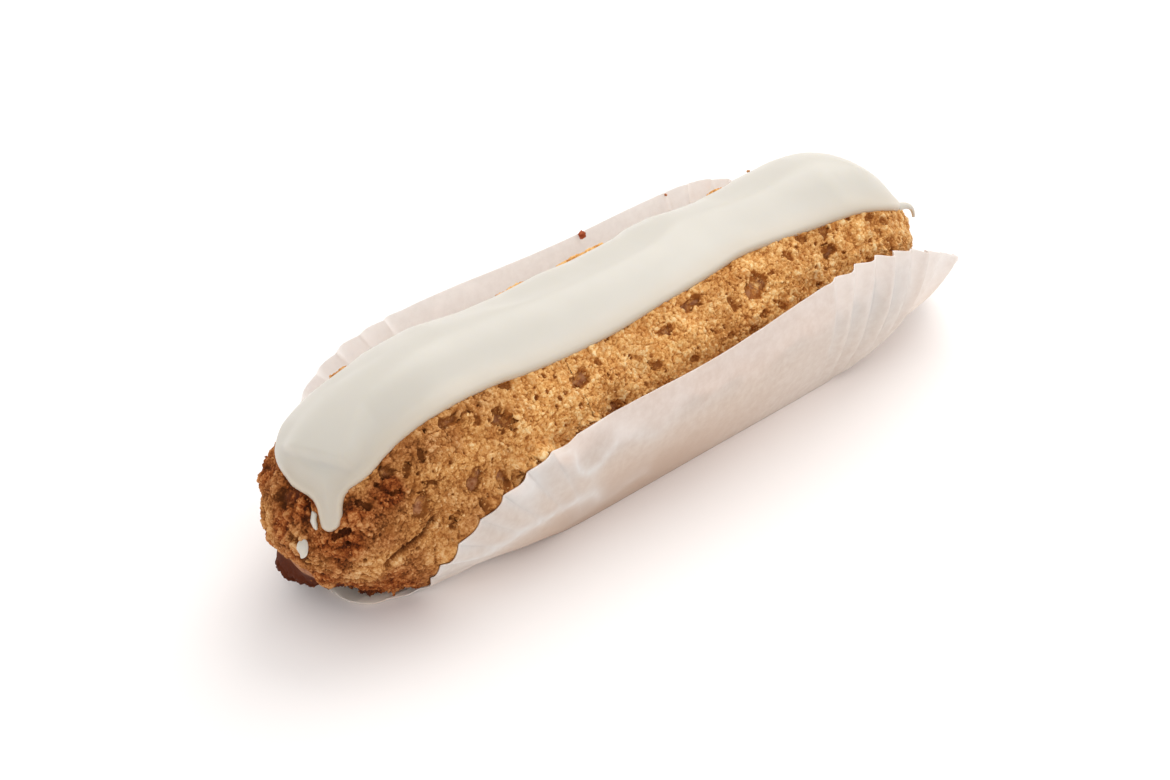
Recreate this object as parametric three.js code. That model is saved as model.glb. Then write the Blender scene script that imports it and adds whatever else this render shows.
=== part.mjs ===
// An eclair with a crumbly crust and a poured white icing, lying in its pleated paper case.
// Millimetres, +Z up. X runs along the eclair, from the end with the icing drip (-X) to the far end.
// The origin is on the table, under the middle of the eclair; the case's base rests on Z = 0.
import * as THREE from "three";
import { ParametricGeometry } from "three/addons/geometries/ParametricGeometry.js";
import { mergeVertices } from "three/addons/utils/BufferGeometryUtils.js";

// Pastry: a loaf with rounded ends, lowest along its top at SAG_X
const PASTRY_LENGTH = 145;
const PASTRY_HALF_WIDTH = 17.8;
const PASTRY_BOTTOM = 0.8;
const PASTRY_MIDDLE = 17.6;
const PASTRY_TOP = 34.6;
const SAG_X = 25;
const SAG_RISE = 3.1;
const SAG_TO_NOSE = 85;
const SAG_TO_FAR = 40;
const NOSE_CAP = 32;
const FAR_CAP = 21;
const PASTRY_RINGS = 96;
const PASTRY_SIDES = 44;

// Crust: crags all over, pits where the shell shows, one crack and the lip of the shell at the nose
const CRAG_HEIGHT = 0.95;
const CRAG_SIZES = [7, 3.4];
const SEED = 27;
const PIT_DEPTH = 1.9;
const BACK_PITS = 16;
const CRACK = { from: [-51, -17.6, 19.5], to: [-58, -12.5, 9], width: 1.8, depth: 1 };
const LIP = { at: [-66.5, 6.2, 4.6], radius: 8, height: 4.6 };
const NOSE_HOLLOW = { at: [-71.5, 3, 9], radius: 5.5, depth: 1.2 };

// The larger pits on the side that is seen: place along X, angle down from the top, radius
const FRONT_PITS = [
  [-54.8, 44, 2.2],
  [-49.3, 81, 2.2],
  [-44.2, 67, 2],
  [-41.5, 47, 2.4],
  [-34.7, 45, 3],
  [-17.9, 46, 2.4],
  [-12.6, 68, 2.2],
  [-4.8, 56, 2.6],
  [2, 42, 2],
  [10.8, 38, 2.2],
  [23.4, 46, 3.2],
  [36.8, 60, 2.2],
  [42.5, 46, 3],
  [49, 43, 2.2],
];

// Icing: a ribbon along the top, thickest where it was poured
const ICING_GAP = 0.35;
const ICING_THICK = 2;
const ICING_HUMP = 0.9;
const ICING_ROUND = 2.6;
const ICING_RINGS = 76;
const ICING_SIDES = 18;

// Where the icing's edges lie along X, in degrees down from the top; the drip is at the near end
const ICING_FRONT = [
  [-68.4, 4],
  [-68.3, 48],
  [-67.8, 57.5],
  [-67, 56.5],
  [-66, 53],
  [-64.4, 42],
  [-63.4, 39],
  [-59.6, 38],
  [-55.5, 32.5],
  [-50, 29.2],
  [-33, 26.3],
  [-25, 30],
  [-9, 31],
  [5.6, 27],
  [18, 25],
  [25, 22],
  [30, 22.8],
  [42.7, 29.5],
  [55.7, 38],
  [62, 43],
  [67, 45],
  [69.2, 6],
];
const ICING_BACK = [
  [-68.4, 4],
  [-67.8, 19.5],
  [-66.5, 32],
  [-64.4, 43],
  [-60, 46],
  [-48, 43],
  [-34, 49],
  [-12, 46],
  [18, 42],
  [45, 48],
  [64, 46],
  [69.2, 6],
];

// Paper case: walls of even slant, pressed flat under both ends of the eclair
const PAPER = 0.4;
const WALL_ROWS = 4;
const FRONT_BULGE = 2.4;
const PLEAT_DEPTH = 0.9;
const STATIONS_PER_FOLD = 4;

// Fold lines round the case: each starts on the base (x, y) and ends on the rim (x, y, z)
const FOLDS = [
  [-36, 1, -62.5, 0.6, 0.5],
  [-33.5, -7, -60.3, -6.2, 0.5],
  [-30, -10, -51.5, -10.4, 1.5],
  [-28.5, -11.6, -51.6, -15.4, 8.8],
  [-26.5, -12.7, -48.7, -18.1, 14.4],
  [-23.5, -13.6, -43, -19, 18.6],
  [-20.5, -13.9, -35.7, -18.8, 22.2],
  [-17, -14, -24.7, -19.2, 25.5],
  [12, -14, 12, -19.5, 26.6],
  [40, -14, 38.2, -19, 29.1],
  [45.5, -13.8, 49, -18.8, 28.8],
  [50, -12.3, 60, -18.2, 25.4],
  [53.2, -9.6, 68, -17.6, 21.3],
  [55.3, -6, 75.7, -17, 16.7],
  [56.7, -2, 80, -11, 10],
  [57, 2.5, 83, -3, 3.5],
  [55.8, 7.5, 82.5, 7, 1.5],
  [53.5, 11.7, 78, 17, 4],
  [50.5, 14.3, 69.5, 24.5, 13],
  [46.5, 15.6, 58.5, 26, 20.7],
  [42.5, 16.1, 49, 26, 25],
  [39, 16.3, 39, 27, 25.7],
  [12, 16.4, 12, 27.2, 25.6],
  [-17, 16.2, -24.2, 27, 26.3],
  [-21, 15.8, -34, 27.6, 25.2],
  [-25, 14.5, -42.3, 28, 21.5],
  [-29, 12.5, -48, 26.5, 17.5],
  [-32.5, 9.3, -55, 18.5, 8.5],
  [-35, 5.5, -60.5, 9.5, 2.4],
];

const clamp01 = (t) => Math.min(1, Math.max(0, t));
const ease = (t) => t * t * (3 - 2 * t);
const smooth = (from, to, t) => ease(clamp01((t - from) / (to - from)));
const vector = ([x, y, z]) => new THREE.Vector3(x, y, z);

// A repeatable value from 0 to 1 for three whole numbers
function hash(i, j, k) {
  let h = Math.imul(i, 374761393) ^ Math.imul(j, 668265263) ^ Math.imul(k + SEED, 1274126177);
  h = Math.imul(h ^ (h >>> 13), 1103515245);
  return ((h ^ (h >>> 16)) >>> 0) / 4294967296;
}

// Smooth noise from -1 to 1, with lumps of the given size
function noise(p, size) {
  const [x, y, z] = [p.x / size, p.y / size, p.z / size];
  const [i, j, k] = [Math.floor(x), Math.floor(y), Math.floor(z)];
  const [fx, fy, fz] = [ease(x - i), ease(y - j), ease(z - k)];
  let sum = 0;
  for (let c = 0; c < 8; c++) {
    const [a, b, d] = [c & 1, (c >> 1) & 1, c >> 2];
    const weight = (a ? fx : 1 - fx) * (b ? fy : 1 - fy) * (d ? fz : 1 - fz);
    sum += weight * hash(i + a, j + b, k + d);
  }
  return 2 * sum - 1;
}

// A closed surface as one welded mesh, without the triangles that collapse at its poles
function welded(geometry) {
  geometry.deleteAttribute("normal");
  geometry.deleteAttribute("uv");
  const merged = mergeVertices(geometry, 1e-3);
  const index = merged.index.array;
  const kept = [];
  for (let i = 0; i < index.length; i += 3) {
    const [a, b, c] = [index[i], index[i + 1], index[i + 2]];
    if (a !== b && b !== c && a !== c) kept.push(a, b, c);
  }
  merged.setIndex(kept);
  merged.computeVertexNormals();
  return merged;
}

function distanceToLine(p, { from, to }) {
  const line = new THREE.Line3(vector(from), vector(to));
  return line.closestPointToPoint(p, true, new THREE.Vector3()).distanceTo(p);
}

// How far a cross-section has closed, from 1 along the body to 0 at the tip of an end
function closing(x, power) {
  const cap = x < 0 ? NOSE_CAP : FAR_CAP;
  const over = clamp01((Math.abs(x) - PASTRY_LENGTH / 2 + cap) / cap);
  return Math.pow(1 - Math.pow(over, power), 1 / power);
}

// The smooth loaf at a place along X and an angle in degrees, from 0 at the top down the front
function loaf(x, lean) {
  const sag = (x - SAG_X) / (x < SAG_X ? SAG_TO_NOSE : SAG_TO_FAR);
  const top = PASTRY_TOP + SAG_RISE * sag * sag;
  const up = (top - PASTRY_MIDDLE) * closing(x, x < 0 ? 1.85 : 1.7);
  const down = (PASTRY_MIDDLE - PASTRY_BOTTOM) * closing(x, x < 0 ? 2.6 : 2.1);
  const rise = Math.cos(THREE.MathUtils.degToRad(lean));
  const y = -PASTRY_HALF_WIDTH * closing(x, 2.3) * Math.sin(THREE.MathUtils.degToRad(lean));
  return new THREE.Vector3(x, y, PASTRY_MIDDLE + (rise > 0 ? up : down) * rise);
}

function loafNormal(x, lean) {
  const tip = PASTRY_LENGTH / 2 - 1e-6;
  if (Math.abs(x) > tip) return new THREE.Vector3(Math.sign(x), 0, 0);
  const e = Math.min(1e-3, (tip - Math.abs(x)) / 4);
  const across = loaf(x, lean + 0.05).sub(loaf(x, lean - 0.05));
  const onward = loaf(x + e, lean).sub(loaf(x - e, lean));
  return across.cross(onward).normalize();
}

// The loaf at a height above it
function above(x, lean, height) {
  return loaf(x, lean).addScaledVector(loafNormal(x, lean), height);
}

// A value that runs straight from one knot [place, value] to the next
function between(knots, x) {
  const next = knots.findIndex(([place]) => place > x);
  if (next < 1) return next ? knots[knots.length - 1][1] : knots[0][1];
  const [[x0, a], [x1, b]] = [knots[next - 1], knots[next]];
  return THREE.MathUtils.mapLinear(x, x0, x1, a, b);
}

const NEAR_EDGE = ICING_FRONT[0][0];
const FAR_EDGE = ICING_FRONT[ICING_FRONT.length - 1][0];

// How far inside the icing's edge the loaf lies at an angle down its front, in mm; negative outside it
function icingReach(x, lean) {
  const radius = PASTRY_HALF_WIDTH * closing(x, 2.3);
  const front = THREE.MathUtils.degToRad(between(ICING_FRONT, x) - lean) * radius;
  const back = THREE.MathUtils.degToRad(between(ICING_BACK, x) + lean) * radius;
  return Math.min(front, back, 2 * (x - NEAR_EDGE), 2 * (FAR_EDGE - x));
}

function icingHeight(x, lean) {
  const hump = smooth(20, -40, x) - 1.6 * smooth(-52, -68, x);
  const rise = 1 - clamp01(icingReach(x, lean) / ICING_ROUND);
  return (ICING_THICK + ICING_HUMP * hump) * Math.sqrt(1 - rise * rise);
}

const frontPits = FRONT_PITS.map(([x, lean, radius]) => ({ at: loaf(x, lean), radius }));
const backPits = Array.from({ length: BACK_PITS }, (_, i) => ({
  at: loaf(-62 + (124 * (i + hash(i, 1, 0))) / BACK_PITS, -55 - 35 * hash(i, 2, 0)),
  radius: 1.8 + 1.2 * hash(i, 3, 0),
}));
const pits = [...frontPits, ...backPits];

// How far the crust stands out of the smooth loaf, or lies below it
function relief(x, lean) {
  const p = loaf(x, lean);
  const bare = smooth(0, -1.6, icingReach(x, lean));
  const open = Math.max(smooth(5, 15, p.z), smooth(-52, -60, x));
  const crags = 0.6 * noise(p, CRAG_SIZES[0]) + 0.6 * noise(p, CRAG_SIZES[1]) - 0.25;
  let height = CRAG_HEIGHT * crags * (0.15 + 0.85 * open);
  for (const pit of pits) {
    height -= PIT_DEPTH * Math.pow(1 - clamp01(p.distanceTo(pit.at) / pit.radius), 0.7);
  }
  height -= CRACK.depth * (1 - clamp01(distanceToLine(p, CRACK) / CRACK.width));
  height += LIP.height * smooth(LIP.radius, 0, p.distanceTo(vector(LIP.at)));
  height -= NOSE_HOLLOW.depth * smooth(NOSE_HOLLOW.radius, 2, p.distanceTo(vector(NOSE_HOLLOW.at)));
  return height * bare;
}

// Round the loaf from 0 to 1, and along it from tip to tip with closer rings towards both
function pastryPoint(u, v, target) {
  const t = 2 * v - 1;
  const x = (Math.sign(t) * PASTRY_LENGTH * (1 - Math.pow(1 - Math.abs(t), 1.6))) / 2;
  const lean = 360 * (u % 1) - 180;
  return target.copy(above(x, lean, relief(x, lean)));
}

// Across the icing's top from the back edge to the front, then back underneath it
function icingPoint(u, v, target) {
  const spread = v - (0.8 * Math.sin(2 * Math.PI * v)) / (2 * Math.PI);
  const x = NEAR_EDGE + (FAR_EDGE - NEAR_EDGE) * spread;
  const over = u <= 0.5;
  const across = (1 - Math.cos(2 * Math.PI * u)) / 2;
  const [back, front] = [-between(ICING_BACK, x), between(ICING_FRONT, x)];
  const end = v === 0 || v === 1;
  const lean = end ? 0 : back + (front - back) * across;
  const height = over && !end ? icingHeight(x, lean) : 0;
  return target.copy(above(x, lean, ICING_GAP + height));
}

const pastry = welded(new ParametricGeometry(pastryPoint, PASTRY_SIDES, PASTRY_RINGS));
const icing = welded(new ParametricGeometry(icingPoint, ICING_SIDES, ICING_RINGS));

const baseCurve = new THREE.CatmullRomCurve3(
  FOLDS.map(([x, y]) => new THREE.Vector3(x, y, 0)),
  true,
);
const rimCurve = new THREE.CatmullRomCurve3(
  FOLDS.map(([, , x, y, z]) => new THREE.Vector3(x, y, z)),
  true,
);

// The outside of the case without its pleats: round it from 0 to 1, up it from 0 to 1
function wall(round, up) {
  const rim = rimCurve.getPoint(round);
  const p = baseCurve.getPoint(round).lerp(rim, up);
  const front = clamp01(-rim.y / 10) * clamp01(rim.z / 20);
  p.y -= FRONT_BULGE * 4 * up * (1 - up) * front;
  return p;
}

function wallNormal(round, up) {
  const e = 1e-3;
  const onward = wall((round + e) % 1, up).sub(wall((round + 1 - e) % 1, up));
  const upward = wall(round, Math.min(1, up + e)).sub(wall(round, Math.max(0, up - e)));
  return onward.cross(upward).normalize();
}

const STATIONS = FOLDS.length * STATIONS_PER_FOLD;
const ROWS = 2 * WALL_ROWS + 3;

// The ends are pleated and the long sides plain
function pleat(round, up) {
  const rim = rimCurve.getPoint(round);
  const ends = Math.max(smooth(-22, -30, rim.x), smooth(38, 46, rim.x));
  const standing = 0.35 + 0.65 * clamp01(rim.z / 8);
  const out = Math.round(round * STATIONS) % 2 ? 0.5 : -0.5;
  return PLEAT_DEPTH * out * ends * standing * up;
}

// One closed surface: out over the base, up the outside, down the inside, back over the base
function casePoint(u, v, target) {
  const row = Math.round(v * ROWS);
  if (row === 0 || row === ROWS) return target.set(10, 1, row ? PAPER : 0);
  const inside = row > WALL_ROWS + 1;
  const up = (inside ? 2 * WALL_ROWS + 2 - row : row - 1) / WALL_ROWS;
  const round = u % 1;
  const normal = wallNormal(round, up);
  const p = wall(round, up).addScaledVector(normal, pleat(round, up));
  if (inside) p.addScaledVector(normal, -PAPER);
  if (up === 0) p.z = inside ? PAPER : 0;
  p.z = Math.max(p.z, inside ? PAPER : 0);
  return target.copy(p);
}

const paperCase = welded(new ParametricGeometry(casePoint, STATIONS, ROWS));

const group = new THREE.Group();
function add(name, geometry, color, roughness) {
  const material = new THREE.MeshStandardMaterial({ color, roughness, metalness: 0 });
  const mesh = new THREE.Mesh(geometry, material);
  mesh.name = name;
  group.add(mesh);
}

add("pastry", pastry, 0xb8773c, 0.85);
add("icing", icing, 0xe2dfd4, 0.35);
add("paper_case", paperCase, 0xe0d4cb, 0.8);

export default group;
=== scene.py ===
import math

import bpy
import numpy as np
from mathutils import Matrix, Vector
from mathutils.bvhtree import BVHTree
from mathutils.kdtree import KDTree


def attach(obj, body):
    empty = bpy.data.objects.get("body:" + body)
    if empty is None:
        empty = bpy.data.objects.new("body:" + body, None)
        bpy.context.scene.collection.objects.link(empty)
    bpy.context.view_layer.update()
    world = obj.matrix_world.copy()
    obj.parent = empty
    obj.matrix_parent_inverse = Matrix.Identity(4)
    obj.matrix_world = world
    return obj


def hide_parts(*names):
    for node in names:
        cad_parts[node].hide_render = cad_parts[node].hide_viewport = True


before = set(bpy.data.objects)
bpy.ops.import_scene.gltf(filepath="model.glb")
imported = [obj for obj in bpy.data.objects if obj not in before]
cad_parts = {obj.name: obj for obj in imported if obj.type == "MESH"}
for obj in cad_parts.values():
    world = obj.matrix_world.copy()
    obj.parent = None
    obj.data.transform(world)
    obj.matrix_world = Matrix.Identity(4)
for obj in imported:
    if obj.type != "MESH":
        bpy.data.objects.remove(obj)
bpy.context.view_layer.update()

# Places and sizes are in millimetres; MM turns them into the frame's metres
MM = 0.001

# The loaf under the crust, as in the solids
LOAF_LENGTH = 145.0
LOAF_HALF_WIDTH = 17.8
LOAF_BOTTOM = 0.8
LOAF_MIDDLE = 17.6
LOAF_TOP = 34.6
SAG_X = 25.0
SAG_RISE = 3.1
SAG_TO_NOSE = 85.0
SAG_TO_FAR = 40.0
NOSE_CAP = 32.0
FAR_CAP = 21.0

# Edges of the icing: place along X, degrees down from the top
ICING_FRONT = [
    (-68.4, 0), (-68.3, 10), (-67.8, 22), (-67.7, 31), (-68.2, 42), (-68.6, 53), (-68.1, 60),
    (-66.7, 60), (-65.7, 54), (-64.8, 43), (-63.4, 38), (-59.6, 38), (-55.5, 32.5), (-50, 29.2),
    (-33, 26.3), (-25, 30), (-9, 31), (5.6, 27), (18, 25), (25, 22), (30, 22.8), (42.7, 29.5),
    (55.7, 36.5), (62, 40.5), (68.2, 42), (70.2, 6),
]
ICING_BACK = [
    (-68.4, 0), (-67.8, -19.5), (-66.8, -34), (-65, -46), (-61.5, -54), (-58, -56), (-54, -54),
    (-51.5, -45), (-49, -42), (-46, -44), (-43, -54), (-20, -56), (-16, -45), (-13, -42.5),
    (11, -42.5), (14, -46), (18, -56), (35, -55), (38.5, -43), (42, -43), (45, -54), (60, -54),
    (66, -40), (70.2, 6),
]
# Thickness of the icing, how much more it has over the nose, and its thickness behind the top along X
ICING_THICK = 2.2
ICING_HUMP = 0.9
ICING_BEHIND = [
    (-68, 1.2), (-64, 1.5), (-61, 1.9), (-56, 2.0), (-47, 2.4), (-43, 2.8), (-34, 3.5), (-24, 2.5),
    (-16, 2.4), (-6, 2.9), (1, 2.6), (12, 2.9), (17, 3.4), (22, 3.5), (28, 2.7), (34, 2.2),
    (44, 2.5), (54, 2.2), (61, 2.25), (63.5, 1.85), (65.5, 1.4), (70, 1.2),
]
# How far its underside lies in the loaf
ICING_SUNK = 0.45
# The rolled front edge: width, height and how far it dips behind it
ICING_BEAD = (0.85, 1.08, 0.12)
# How much higher the rolled edge is at the far tip
ICING_TIP = 0.35
# At places along X, how far from the edge the dip ends and how far the icing is full
ICING_RISE = [
    (-62, 1.5, 4.0), (-54, 2.8, 8.0), (-40, 3.2, 11.0), (-20, 3.4, 13.0), (54, 3.4, 13.0),
    (64, 1.5, 8.0),
]
# The icing turns down over the nose at this line, lean and place along X, and thins out below it
ICING_BREAK = [(-40, -64.3), (-18, -64.9), (-8, -64.7), (8, -63.6), (22, -61.9), (33, -60.3)]
ICING_THINNER = 2.0
# How wide the plain round edge behind is
ICING_BLUNT = 2.2
# The icing's last thread, hanging over the far end: place and half its thickness
ICING_TAIL = [
    (66.8, -8, 27.2, 0.9), (69.4, -8, 26.7, 0.7), (70.9, -8, 26.3, 0.5), (72.0, -8, 24.8, 0.42),
    (72.4, -8, 22.9, 0.32),
]
# Chips of icing on the nose: place, the way they lie, and their length, width and thickness
FLECKS = [
    ((-70.9, -6.1, 18.9), (0.4, 0.7, 0.8), (3.4, 2.3, 1.3)),
    ((-68.6, -6.3, 23.6), (-0.1, -0.8, -0.6), (3.2, 1.7, 1.0)),
]
# Faces of the icing round it and along it
ICING_AROUND = 104
ICING_ALONG = 400

# Pits in the crust: x and lean of both ends of a short line on the loaf, and half its width
PITS = [
    (26.5, 42, 24.5, 44, 2.0), (-34.5, 43, -33.5, 48, 1.7), (43, 45, 44, 46, 1.5),
    (-16.5, 44, -18, 45, 1.3), (-42.5, 66, -44, 70, 1.1), (-11.5, 69, -12.5, 70, 1.3),
    (-48.5, 83, -49, 88, 1.0), (-53.5, 65, -54.5, 70, 1.3), (-38, 73, -38, 76, 1.2),
    (-3, 55, -1.5, 58, 0.9), (-5.5, 55, -5.5, 59, 0.9), (18.5, 43, 19, 48, 0.8),
    (37, 58, 38, 61, 0.9), (-42.5, 42, -40.5, 51, 0.8), (40.5, 32, 39, 29, 0.7),
    (-30.5, 29, -30, 30, 0.9), (45, 32, 44.5, 35, 0.9), (34.5, 35, 35, 37, 0.8),
    (49.5, 42, 49.5, 43, 0.8), (-12.5, 40, -12, 41, 0.5), (-19.5, 58, -19.5, 58, 0.7),
    (24.5, 60, 24.5, 61, 0.7), (28.5, 60, 29.5, 63, 0.7), (21.5, 66, 20, 66, 0.6),
    (3.5, 41, 1.5, 41, 1.1), (12.5, 34, 10, 35, 1.2), (-69.5, 3, -70, -4, 1.9),
    (-54, 45, -57, 41, 1.1), (-41.5, 34, -44.5, 34, 1.0), (-50.5, 41, -50.8, 45, 0.6),
    (-50, 60, -51.5, 58, 0.5), (-57.5, 54, -55.5, 55, 0.7), (-38.5, 39, -38.5, 42, 0.8),
    (6, 64, 7, 66, 0.6), (56.5, 39, 55, 40, 0.8), (-43, 82, -42, 87, 0.7),
    (58.5, 45, 59.5, 47, 0.7), (-72, 47, -71.5, 62, 0.8), (16, 63, 15.5, 63, 0.7),
    (27.3, 40, 30, 40, 0.35), (26.7, 53, 29.5, 64, 0.35), (-67.5, 66, -65.5, 63, 0.6),
    (-62.9, 49, -61.7, 55, 0.6), (-59.1, 45, -58, 52, 0.65), (-68.6, 19, -69, 36, 0.65),
]
# Pits scattered on the back
BACK_PITS = 46
PIT_DEPTH = 1.4
# Sizes of the crust's granules, the finer ones on them, its clumps, its knobs, and the room for one hole
GRANULE = 1.05
FINE_GRANULE = 0.5
CLUMP = 2.4
KNOB = 1.9
HOLE_ROOM = 1.8
# How far the relief of the crust goes out and in at most
RAISED = 0.8
SUNK = 2.5
# A crack beside the nose, above which the crust has sunk: place along X and height
CRACK = [(-61, 14.9), (-55.4, 18.1), (-51.5, 20.6)]
CRACK_DEPTH = 1.4
# Under the nose the shell shows below this edge: y and height
SHELL_EDGE = [
    (-7, 0), (-6.3, 10.5), (-5, 13.2), (-2, 14.3), (1, 12.5), (4.5, 10.3), (8, 9.8), (11, 4), (12, 0),
]
SHELL_DEPTH = 0.8
# Where the crust swells: middle, radius and height
SWELLS = [
    ((-68, 10.9, 22.2), 5.0, 1.9), ((-62, -12.5, 4), 7.0, 0.9), ((-68.8, 5.6, 2.6), 5.0, 1.0),
    ((-54, -13.5, 5), 8.0, 1.2), ((71.5, -6, 22), 9.0, 1.3), ((-64.8, 11.8, 24.9), 4.5, 1.5),
]
# Where the crust stands up behind the icing: from and to along X, and how far
BACK_RIDGES = [(-50, -45.5, 3.0), (-14, -5.5, 3.0), (0, 12.5, 2.9), (38.5, 42.5, 2.7)]
# Darker baked patches, and a slightly paler one: middle, radius and how much
BURNT = [
    ((-66.3, -11.1, 22.1), 4.5, 0.1), ((-62.7, -10.9, 25.9), 3.5, 0.2), ((-57.9, -11.9, 27), 4.0, 0.3),
    ((-50.7, -11.2, 31), 4.5, 0.35), ((-46.5, -11.5, 30.5), 5.0, 0.15), ((-61.5, -14.5, 20), 5.0, -0.1),
]
# How far the lip under the nose hangs below the loaf
LIP_DROP = 0.7
# Size of the crust's faces, and the share of them that is kept out of sight
CRUST_VOXEL = 0.18
HIDDEN_SHARE = 0.05
# The crust is cut across in pieces of fine faces: their names, and where the cuts are along X
CRUST_PIECES = ["crust_nose", "crust_near", "crust_middle", "crust_far", "crust_end"]
CRUST_CUTS = [-48, -18, 14, 46]
# Loose grains on the crust: name, number, sizes, how far they stand out as a share of their size, seed
GRAINS = [
    ("crumbs", 700, (0.6, 1.0), (-0.35, -0.12), 71),
    ("grains", 7000, (0.3, 0.55), (-0.3, 0.0), 72),
]
# Crumbs on the rim of the paper and behind the icing: place, size, how toasted and how light
LOOSE_CRUMBS = [
    ((17.0, 26.4, 25.7), 1.3, 1.0, 0.3), ((38.6, 26.3, 25.6), 0.5, 0.6, 0.5),
    ((48.5, 14.0, 32.6), 0.55, 0.2, 0.5),
]

# Paper case: base (x, y) and rim (x, y, z) of each fold line, as in the solids
FOLDS = [
    (-36, 1, -62.5, 0.6, 0.5), (-33.5, -7, -60.3, -6.2, 0.5), (-30, -10, -51.5, -10.4, 1.5),
    (-28.5, -11.6, -51.6, -15.4, 8.8), (-26.5, -12.7, -48.7, -18.1, 14.4),
    (-23.5, -13.6, -43, -19, 18.6), (-20.5, -13.9, -35.7, -18.8, 22.2),
    (-17, -14, -24.7, -19.2, 25.5), (12, -14, 12, -19.5, 26.6), (40, -14, 38.2, -19, 29.1),
    (45.5, -13.8, 49, -18.8, 28.8), (50, -12.3, 60, -18.2, 25.4), (53.2, -9.6, 68, -17.6, 21.3),
    (55.3, -6, 75.7, -17, 16.7), (56.7, -2, 80, -11, 10), (57, 2.5, 83, -3, 3.5),
    (55.8, 7.5, 82.5, 7, 1.5), (53.5, 11.7, 78, 17, 4), (50.5, 14.3, 69.5, 24.5, 13),
    (46.5, 15.6, 58.5, 26, 20.7), (42.5, 16.1, 49, 26, 25), (39, 16.3, 39, 27, 25.7),
    (12, 16.4, 12, 27.2, 25.6), (-17, 16.2, -24.2, 27, 26.3), (-21, 15.8, -34, 27.6, 25.2),
    (-25, 14.5, -42.3, 28, 21.5), (-29, 12.5, -48, 26.5, 17.5), (-32.5, 9.3, -55, 18.5, 8.5),
    (-35, 5.5, -60.5, 9.5, 2.4),
]
# How far the front wall bulges out, and how far the wall bellies out low at the far end
FRONT_BULGE = 2.4
FAR_BELLY = 3.3
CASE_CENTRE = (10.0, 1.0, 0.0)
PAPER_THICK = 0.2
# Faces of the case round it, across its base and up its wall
CASE_STATIONS = 1200
CASE_BASE_ROWS = 4
CASE_WALL_ROWS = 20
# Pleats counted along the rim from its start under the nose: mm and number
PLEAT_MARKS = [(0, 0), (55.4, 10), (123.2, 22), (250, 44), (317.8, 56), (380.1, 68)]
PLEAT_DEPTH = 1.3
# How far the rim dips between the folds beside the far end
RIM_DIP = 0.55
# How far inside the outside of the paper the crust stays
CLEAR_OF_PAPER = 0.35

# The camera of the photograph: turn and tilt in degrees, what it looks at, how far off, and focal length
CAMERA_TURN = 41.289
CAMERA_TILT = 37
CAMERA_TARGET = (-8.152, -3.143, 18)
CAMERA_AWAY = 390.2
PHOTO_WIDTH = 1170
FOCAL_PIXELS = 2200.65
SENSOR_WIDTH = 36
# The lamp above and behind the far end: place and size in metres, power in watts, colour
LAMP_AT = (0.5, 0.22, 0.63)
LAMP_SIZE = 0.6
LAMP_POWER = 3.0
LAMP_COLOUR = (1, 0.985, 0.965)
SKY_COLOUR = (1, 0.985, 0.975, 1)
FLOOR_SIZE = 6

# Vertices nearer to each other than this are one
MERGED = 0.002


def ease(t):
    return t * t * (3 - 2 * t)


def smooth(start, end, t):
    """Goes smoothly from 0 at the start to 1 at the end, whichever is larger."""
    return ease(np.clip((t - start) / (end - start), 0, 1))


def quarter_round(t):
    """Rises from 0 at 0 to 1 at 1 as a quarter of a circle does."""
    return np.sqrt(1 - (1 - np.clip(t, 0, 1)) ** 2)


def at_knots(knots, x):
    """A value that runs straight from one knot (place, value) to the next."""
    return np.interp(x, *np.transpose(knots))


def scrambled(i, j, k, seed):
    """A repeatable value from 0 to 1 for whole numbers."""
    with np.errstate(over="ignore"):
        h = i.astype(np.uint32) * np.uint32(374761393)
        h ^= j.astype(np.uint32) * np.uint32(668265263)
        h ^= (k.astype(np.uint32) + np.uint32(seed)) * np.uint32(1274126177)
        h = (h ^ (h >> np.uint32(13))) * np.uint32(1103515245)
        h ^= h >> np.uint32(16)
    return h / 4294967296.0


def patches(p, size, seed):
    """Smooth noise from -1 to 1 with patches of that size."""
    q = p / size
    cell = np.floor(q).astype(np.int64)
    f = ease(q - cell)
    total = np.zeros(len(p))
    for corner in range(8):
        step = np.array([corner & 1, corner >> 1 & 1, corner >> 2])
        weight = np.prod(np.where(step, f, 1 - f), axis=1)
        total += weight * scrambled(*(cell + step).T, seed)
    return 2 * total - 1


# The loaf, and where the icing lies on it


def closing(x, near_power, far_power):
    """How far the loaf is open at a place along X: 1 in the middle, 0 at its ends."""
    cap = np.where(x < 0, NOSE_CAP, FAR_CAP)
    power = np.where(x < 0, near_power, far_power)
    over = np.clip((np.abs(x) - LOAF_LENGTH / 2 + cap) / cap, 0, 1)
    return (1 - over**power) ** (1 / power)


def loaf_sizes(x):
    """Half width, height over the middle and depth under it at a place along X."""
    sag = (x - SAG_X) / np.where(x < SAG_X, SAG_TO_NOSE, SAG_TO_FAR)
    top = LOAF_TOP + SAG_RISE * sag * sag
    up = (top - LOAF_MIDDLE) * closing(x, 1.85, 1.7)
    down = (LOAF_MIDDLE - LOAF_BOTTOM) * closing(x, 2.6, 2.1)
    return LOAF_HALF_WIDTH * closing(x, 2.3, 2.3), up, down


def loaf(x, lean):
    """The smooth loaf at a place along X and an angle in degrees down its front."""
    x, lean = np.broadcast_arrays(np.asarray(x, float), np.radians(np.asarray(lean, float)))
    half, up, down = loaf_sizes(x)
    rise = np.cos(lean)
    z = LOAF_MIDDLE + np.where(rise > 0, up, down) * rise
    return np.stack([x, -half * np.sin(lean), z], axis=-1)


def loaf_normal(x, lean):
    across = loaf(x, lean + 0.05) - loaf(x, lean - 0.05)
    onward = loaf(x + 0.01, lean) - loaf(x - 0.01, lean)
    n = np.cross(across, onward)
    return n / np.linalg.norm(n, axis=1, keepdims=True)


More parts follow.
